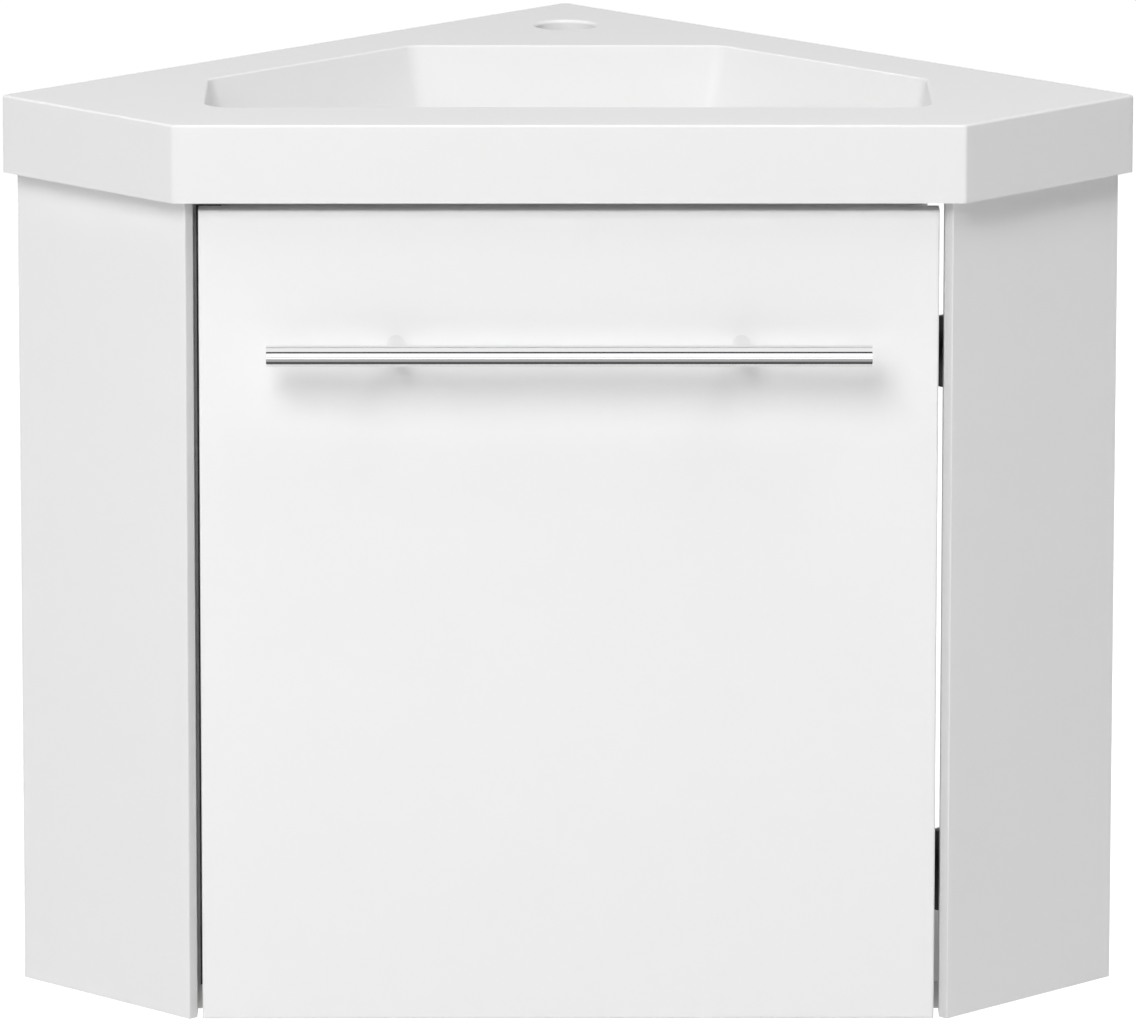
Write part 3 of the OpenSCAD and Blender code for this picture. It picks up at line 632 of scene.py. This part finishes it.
class VANITY_OT_basin(bpy.types.Operator):
    """Build the cast basin with its rounded rim, drafted bowl, tap hole and waste seat"""

    bl_idname = "vanity.basin"
    bl_label = "Basin"

    def execute(self, context):
        s = context.scene.vanity_basin
        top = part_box("basin")[1].z
        under = top - s.rim_height
        floor = top - s.bowl_depth
        waste_z = floor - s.floor_fall
        waste = Vector((0, basin_front(s) + s.waste_place))
        body = basin_body(s, top, under)

        def at_waste(name, radius, high, low, operation):
            """Joins or cuts a disc at the waste, between two heights from its seat."""
            ring = circle(radius, waste)
            combine(body, lofted(name, [(ring, waste_z + high), (ring, waste_z + low)]), operation)

        for side in (-1, 1):
            for v in (s.pad_first, s.pad_second):
                u0, u1 = s.side_face - s.pad_length, s.wall_length - s.seat + OVERLAP
                v0, v1 = v - s.pad_width / 2, v + s.pad_width / 2
                pad = [on_wall(*at, side) for at in ((u0, v0), (u1, v0), (u1, v1), (u0, v1))]
                combine(body, lofted("pad", [(pad, top - s.deck + OVERLAP), (pad, under)]),
                        "UNION")
        combine(body, bowl_shell(s, top, floor), "UNION")
        boss_wall = 0.008
        at_waste("boss", s.waste_seat / 2 + boss_wall, OVERLAP, -s.waste_boss, "UNION")
        combine(body, bowl_space(s, top, floor, waste), "DIFFERENCE")
        at_waste("seat", s.waste_seat / 2, OVERLAP, -s.waste_seat_depth, "DIFFERENCE")
        at_waste("drain", s.waste_hole / 2, 0, -s.waste_boss - OVERSHOOT, "DIFFERENCE")
        tap = (0, -s.tap_place)
        rings = [(circle(s.tap_hole / 2 + s.tap_lip, tap), top + OVERSHOOT)]
        for a in quarter(8):
            rings.append((circle(s.tap_hole / 2 + s.tap_lip * (1 - math.sin(a)), tap),
                          top - s.tap_lip * (1 - math.cos(a))))
        rings.append((circle(s.tap_hole / 2, tap), top - s.deck - OVERSHOOT))
        combine(body, lofted("tap", rings), "DIFFERENCE")
        smooth(body, angle=32)
        body.data.materials.clear()
        body.data.materials.append(gel_coat(context.scene.vanity_finishes.basin))
        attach(body, "carcass")
        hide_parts("basin")
        return {"FINISHED"}


# ---------- Boards ----------


class VANITY_OT_boards(bpy.types.Operator):
    """Finish the outer boards in gloss lacquer, with painted shade on the side panels' noses and
    rebates, and the inner boards in melamine greyed as painted shade
    """

    bl_idname = "vanity.boards"
    bl_label = "Boards"

    def execute(self, context):
        f = context.scene.vanity_finishes
        # The inner boards' grey is painted shade for the dim inside of the cabinet.
        outer, inner = lacquer(f.lacquer), melamine_painted_shade(f.melamine_painted_shade)
        # The side panels' lacquer carries painted shade on the noses and rebates.
        lacquer_with_nose_shade = lacquer(f.lacquer, tuple(f.nose_painted_shade))
        wear("door_panel", outer)
        for node in SIDES:
            wear(node, lacquer_with_nose_shade)
        for node in INNER_BOARDS:
            wear(node, inner)
        # The buffer's near-black is painted shade in the gap beside the door.
        wear("stop_buffer", moulding("buffer_rubber", f.buffer, scale=700.0, least=0.62))
        wear("dowels", beech(f.beech_light, f.beech_dark))
        return {"FINISHED"}


# ---------- Handle ----------


class VANITY_OT_handle(bpy.types.Operator):
    """Build the chrome bar and the two posts that seat on it"""

    bl_idname = "vanity.handle"
    bl_label = "Handle"

    def execute(self, context):
        s = context.scene.vanity_handle
        metal = chrome(context.scene.vanity_finishes.chrome)
        low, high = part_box("handle_bar")
        radius = (high.z - low.z) / 2
        centre = (low + high) / 2
        half = (high.x - low.x) / 2
        c, soft = s.chamfer, 0.3 * s.chamfer
        profile = [(0, -half), (radius - c, -half), (radius - soft, -half + soft),
                   (radius, -half + c), (radius, -half * 0.5), (radius, 0), (radius, half * 0.5),
                   (radius, half - c), (radius - soft, half - soft), (radius - c, half),
                   (0, half)]
        mesh = turned(profile, segments=160)
        mesh.transform(Matrix.Translation(centre) @ Matrix.Rotation(math.pi / 2, 4, "Y"))
        bar = piece("handle_rod", mesh)
        smooth(bar, angle=30)
        bar.data.materials.append(metal)
        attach(bar, "door")
        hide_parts("handle_bar")

        low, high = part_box("handle_posts")
        post_r = (high.z - low.z) / 2
        foot, neck_length = high.y, 0.004
        inner = 1 - s.post_chamfer / post_r
        mesh = bmesh.new()
        for x in (low.x + post_r, high.x - post_r):
            saddle, neck, edge, base = [], [], [], []
            for i in range(ROUND):
                a = 2 * math.pi * i / ROUND
                dx, dz = post_r * math.cos(a), post_r * math.sin(a)
                seat = centre.y + math.sqrt(max(radius ** 2 - dz ** 2, 0)) + POST_GAP
                saddle.append(mesh.verts.new((x + dx, seat, centre.z + dz)))
                neck.append(mesh.verts.new((x + dx, foot - neck_length, centre.z + dz)))
                edge.append(mesh.verts.new((x + dx, foot - s.post_chamfer, centre.z + dz)))
                base.append(mesh.verts.new((x + dx * inner, foot, centre.z + dz * inner)))
            heart = mesh.verts.new((x, centre.y + radius + POST_GAP, centre.z))
            skin(mesh, ([heart] * ROUND, saddle, neck, edge, base))
            mesh.faces.new(base)
        bmesh.ops.recalc_face_normals(mesh, faces=mesh.faces)
        posts = piece("handle_stems", mesh)
        smooth(posts, angle=30)
        posts.data.materials.append(metal)
        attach(posts, "door")
        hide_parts("handle_posts")
        return {"FINISHED"}


# ---------- Fittings ----------


def islands(mesh):
    """Points, and (normal, area) of the faces, of each loose part of a mesh, in order."""
    work = bmesh.new()
    work.from_mesh(mesh)
    bmesh.ops.remove_doubles(work, verts=work.verts, dist=DOUBLED)
    known = set()
    found = []
    for first in work.verts:
        if first in known:
            continue
        known.add(first)
        part = [first]
        for vert in part:
            for link in vert.link_edges:
                near = link.other_vert(vert)
                if near not in known:
                    known.add(near)
                    part.append(near)
        faces = dict.fromkeys(face for vert in part for face in vert.link_faces)
        found.append(([vert.co.copy() for vert in part],
                      [(face.normal.copy(), face.calc_area()) for face in faces]))
    work.free()
    return found


def screw_form(points, faces):
    """Where a plain screw's head is, which way it points, and its sizes."""
    near, past = 0.98, 1.02
    flats = {}
    for normal, area in faces:
        key = tuple(round(c, 2) for c in normal)
        old = flats.get(key, (0.0, normal))
        flats[key] = (old[0] + area, old[1])
    way = max(flats.values(), key=lambda flat: flat[0])[1]
    middle = sum(points, Vector()) / len(points)

    def wide(point):
        return ((point - middle) - (point - middle).dot(way) * way).length

    along = [(p - middle).dot(way) for p in points]
    head_r = max(wide(p) for p in points)
    rim = [a for p, a in zip(points, along) if wide(p) > near * head_r]
    if sum(rim) / len(rim) > (min(along) + max(along)) / 2:
        way, along, rim = -way, [-a for a in along], [-a for a in rim]
    start, reach = min(along), max(along) - min(along)
    radius = max(wide(p) for p, a in zip(points, along) if a > start + near * reach)
    clear = start + 1e-5
    sunk = max(rim) < clear
    if sunk:
        head_h = min(a for p, a in zip(points, along) if wide(p) < past * radius and a > clear)
    else:
        head_h = max(rim)
    head_h -= start
    seat = 0.0 if sunk else head_h
    turn = way.to_track_quat("Z", "Y").to_matrix().to_4x4()
    place = Matrix.Translation(middle + (start + seat) * way) @ turn
    return place, (radius, head_r, head_h, reach - seat, sunk)


def cross_head(radius, head_r, head_h, reach, sunk):
    """Screw along +Z, its head towards -Z, with a cross recess."""
    if sunk:
        profile = [(0, 0), (head_r * 0.97, 0), (head_r * 0.985, 0.0002), (radius, head_h)]
    else:
        profile = [(0, -head_h)]
        for a in quarter(6)[1:]:
            profile.append((head_r * math.sin(a), -head_h * (0.35 + 0.65 * math.cos(a))))
        profile += [(head_r, 0), (radius, 0)]
    profile += [(radius, reach - radius), (0, reach)]
    body = piece("screw", turned(profile, segments=48))
    top = 0.0 if sunk else -head_h
    deep = head_h * (0.75 if sunk else 0.6)
    long, thick = head_r * 0.60, head_r * 0.12
    for a in (0, math.pi / 2):
        ends = [[(-x, -y), (x, -y), (x, y), (-x, y)]
                for x, y in ((long, thick), (long * 0.45, thick * 0.7))]
        slot = lofted("slot",
                      [(ends[0], top - OVERSHOOT), (ends[0], top), (ends[1], top + deep)])
        slot.data.transform(Matrix.Rotation(a, 4, "Z"))
        combine(body, slot, "DIFFERENCE")
    data = body.data
    bpy.data.objects.remove(body)
    return data


class VANITY_OT_fittings(bpy.types.Operator):
    """Finish the hinges, brackets and cams in zinc and the wedges in black nylon"""

    bl_idname = "vanity.fittings"
    bl_label = "Fittings"

    def execute(self, context):
        f = context.scene.vanity_finishes
        steel = zinc("zinc_plate", f.zinc, least=0.24)
        for node in STEEL:
            wear(node, steel)
        nylon = moulding("black_nylon", f.wedge, scale=1100.0, least=0.42)
        for node in WEDGES:
            wear(node, nylon)
        return {"FINISHED"}


class VANITY_OT_screws(bpy.types.Operator):
    """Build the cross-head screws where the frame has plain ones"""

    bl_idname = "vanity.screws"
    bl_label = "Screws"

    def execute(self, context):
        steel = zinc("bright_zinc", context.scene.vanity_finishes.screw, least=0.18)
        forms = {}
        for node, body in SCREWS.items():
            every = bmesh.new()
            for points, faces in islands(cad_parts[node].data):
                place, sizes = screw_form(points, faces)
                key = tuple(round(v, 5) for v in sizes)
                if key not in forms:
                    forms[key] = cross_head(*sizes)
                one = forms[key].copy()
                one.transform(place)
                every.from_mesh(one)
                bpy.data.meshes.remove(one)
            made = piece(node.replace("screws", "cross_screws"), every)
            smooth(made, angle=35)
            made.data.materials.append(steel)
            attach(made, body)
            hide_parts(node)
        return {"FINISHED"}


# ---------- Studio ----------

CAMERA_PLACE = (-0.0389164, -6.6141337, 1.6017184)
CAMERA_TURN = (78.07682, -0.0502, -0.34492)  # degrees
CAMERA_LENS = 360.93
LAMP_AIM = Vector((0, -0.3, 0.3))
LAMP_REACH = 4.0
LAMPS = (  # degrees to the right of the front, degrees up, side of the square
    ("key", -15, 35, 1.6), ("low_key", -15, 20, 1.6), ("top", 0, 86, 1.8),
    ("left", -75, 35, 1.6), ("high_right", 45, 60, 1.6),
    ("back_left", -135, 10, 1.6), ("back_right", 135, 10, 1.6),
)
NEAR_FLOOR = -0.37
FLAGS = (  # half the width, the card's two edges as (y, z), tone
    ("glare_flag", 2.5, (1.6, NEAR_FLOOR), (1.6, 2.4), 0.55),
    ("near_flag", 2.0, (-1.05, NEAR_FLOOR), (-0.43, NEAR_FLOOR), 0.11),
    ("far_flag", 3.0, (-2.5, NEAR_FLOOR), (-1.05, NEAR_FLOOR), 0.45),
    ("front_card", 3.0, (-3.44, 0.49), (-2.67, 2.39), 1.25),
    ("band_flag", 2.5, (-2.24, 1.80), (-1.84, 2.46), 0.08),
    ("high_card", 2.5, (-1.84, 2.46), (1.0, 2.46), 0.95),
)


def soft_light(name, turn, height, size, watts):
    """Square lamp that looks at the unit from a turn and a height in degrees."""
    a, b = math.radians(turn), math.radians(height)
    way = Vector((math.sin(a) * math.cos(b), -math.cos(a) * math.cos(b), math.sin(b)))
    data = bpy.data.lights.new(name, "AREA")
    data.size = size
    data.energy = watts
    lamp = bpy.data.objects.new(name, data)
    lamp.location = LAMP_AIM + LAMP_REACH * way
    lamp.rotation_euler = (-way).to_track_quat("-Z", "Y").to_euler()
    lamp.visible_glossy = False
    bpy.context.scene.collection.objects.link(lamp)


def flag(name, half_width, low, high, tone):
    """Card between two (y, z) edges that only mirrors and gloss see."""
    mesh = bmesh.new()
    mesh.faces.new([mesh.verts.new((x, *edge)) for x, edge in (
        (-half_width, low), (half_width, low), (half_width, high), (-half_width, high))])
    card = piece(name, mesh)
    made = bpy.data.materials.new(name)
    wire = blank(made)
    wire.node("ShaderNodeEmission", None, {"Strength": tone}).end("ShaderNodeOutputMaterial")
    card.data.materials.append(made)
    for ray in ("camera", "diffuse", "transmission", "volume_scatter", "shadow"):
        setattr(card, "visible_" + ray, False)


def seen(wire):
    """1 for rays that show the background: camera, glossy and transmission."""
    camera, glossy, through = (
        wire.node("ShaderNodeLightPath", None, None, out=name)
        for name in ("Is Camera Ray", "Is Glossy Ray", "Is Transmission Ray"))
    return wire.maths("MAXIMUM", wire.maths("MAXIMUM", camera, glossy), through)


class VANITY_OT_studio(bpy.types.Operator):
    """Set the camera, the pale floor, the white background and the soft lights"""

    bl_idname = "vanity.studio"
    bl_label = "Studio"

    def execute(self, context):
        s = context.scene.vanity_studio
        scene = context.scene
        scene.view_settings.view_transform = "Standard"

        camera = bpy.data.cameras.new("camera")
        camera.sensor_fit = "HORIZONTAL"
        camera.sensor_width = 36.0
        camera.lens = CAMERA_LENS
        camera.clip_end = 100.0
        eye = bpy.data.objects.new("camera", camera)
        eye.location = CAMERA_PLACE
        eye.rotation_euler = Euler([math.radians(a) for a in CAMERA_TURN])
        scene.collection.objects.link(eye)
        scene.camera = eye

        mesh = bmesh.new()
        bmesh.ops.create_grid(mesh, x_segments=2, y_segments=2, size=9.0)
        floor = piece("floor", mesh)
        floor.location.z = -s.floor_drop
        made = bpy.data.materials.new("pale_floor")
        wire = blank(made)
        matt = wire.node("ShaderNodeBsdfDiffuse", None, {"Color": rgba(s.floor)})
        lit = wire.node("ShaderNodeEmission", None, {"Strength": seen(wire) * s.backdrop})
        wire.node("ShaderNodeAddShader", None, {0: matt, 1: lit}).end("ShaderNodeOutputMaterial")
        floor.data.materials.append(made)

        world = bpy.data.worlds.new("studio")
        scene.world = world
        wire = blank(world)
        level = seen(wire) * (1.0 - s.fill) + s.fill
        wire.node("ShaderNodeBackground", None, {"Strength": level}).end("ShaderNodeOutputWorld")

        for name, turn, height, size in LAMPS:
            soft_light(name, turn, height, size, getattr(s, name))
        for card in FLAGS:
            flag(*card)
        return {"FINISHED"}


class VANITY_PT_panel(bpy.types.Panel):
    """Lists the pieces of the vanity unit"""

    bl_label = "Corner Vanity Unit"
    bl_idname = "VANITY_PT_panel"
    bl_space_type = "VIEW_3D"
    bl_region_type = "UI"
    bl_category = "Vanity"

    def draw(self, context):
        for operator in OPERATORS:
            self.layout.operator(operator.bl_idname)


OPERATORS = (VANITY_OT_basin, VANITY_OT_boards, VANITY_OT_handle, VANITY_OT_fittings,
             VANITY_OT_screws, VANITY_OT_studio)
GROUPS = {"vanity_basin": VanityBasinSizes, "vanity_handle": VanityHandleSizes,
          "vanity_finishes": VanityFinishes, "vanity_studio": VanityStudio}


def register():
    for kind in (*GROUPS.values(), *OPERATORS, VANITY_PT_panel):
        bpy.utils.register_class(kind)
    for name, kind in GROUPS.items():
        setattr(bpy.types.Scene, name, PointerProperty(type=kind))


def unregister():
    for name in GROUPS:
        delattr(bpy.types.Scene, name)
    for kind in reversed((*GROUPS.values(), *OPERATORS, VANITY_PT_panel)):
        bpy.utils.unregister_class(kind)


def main():
    register()
    bpy.ops.vanity.basin()
    bpy.ops.vanity.boards()
    bpy.ops.vanity.handle()
    bpy.ops.vanity.fittings()
    bpy.ops.vanity.screws()
    bpy.ops.vanity.studio()
    bpy.context.view_layer.update()


if __name__ == "__main__":
    main()
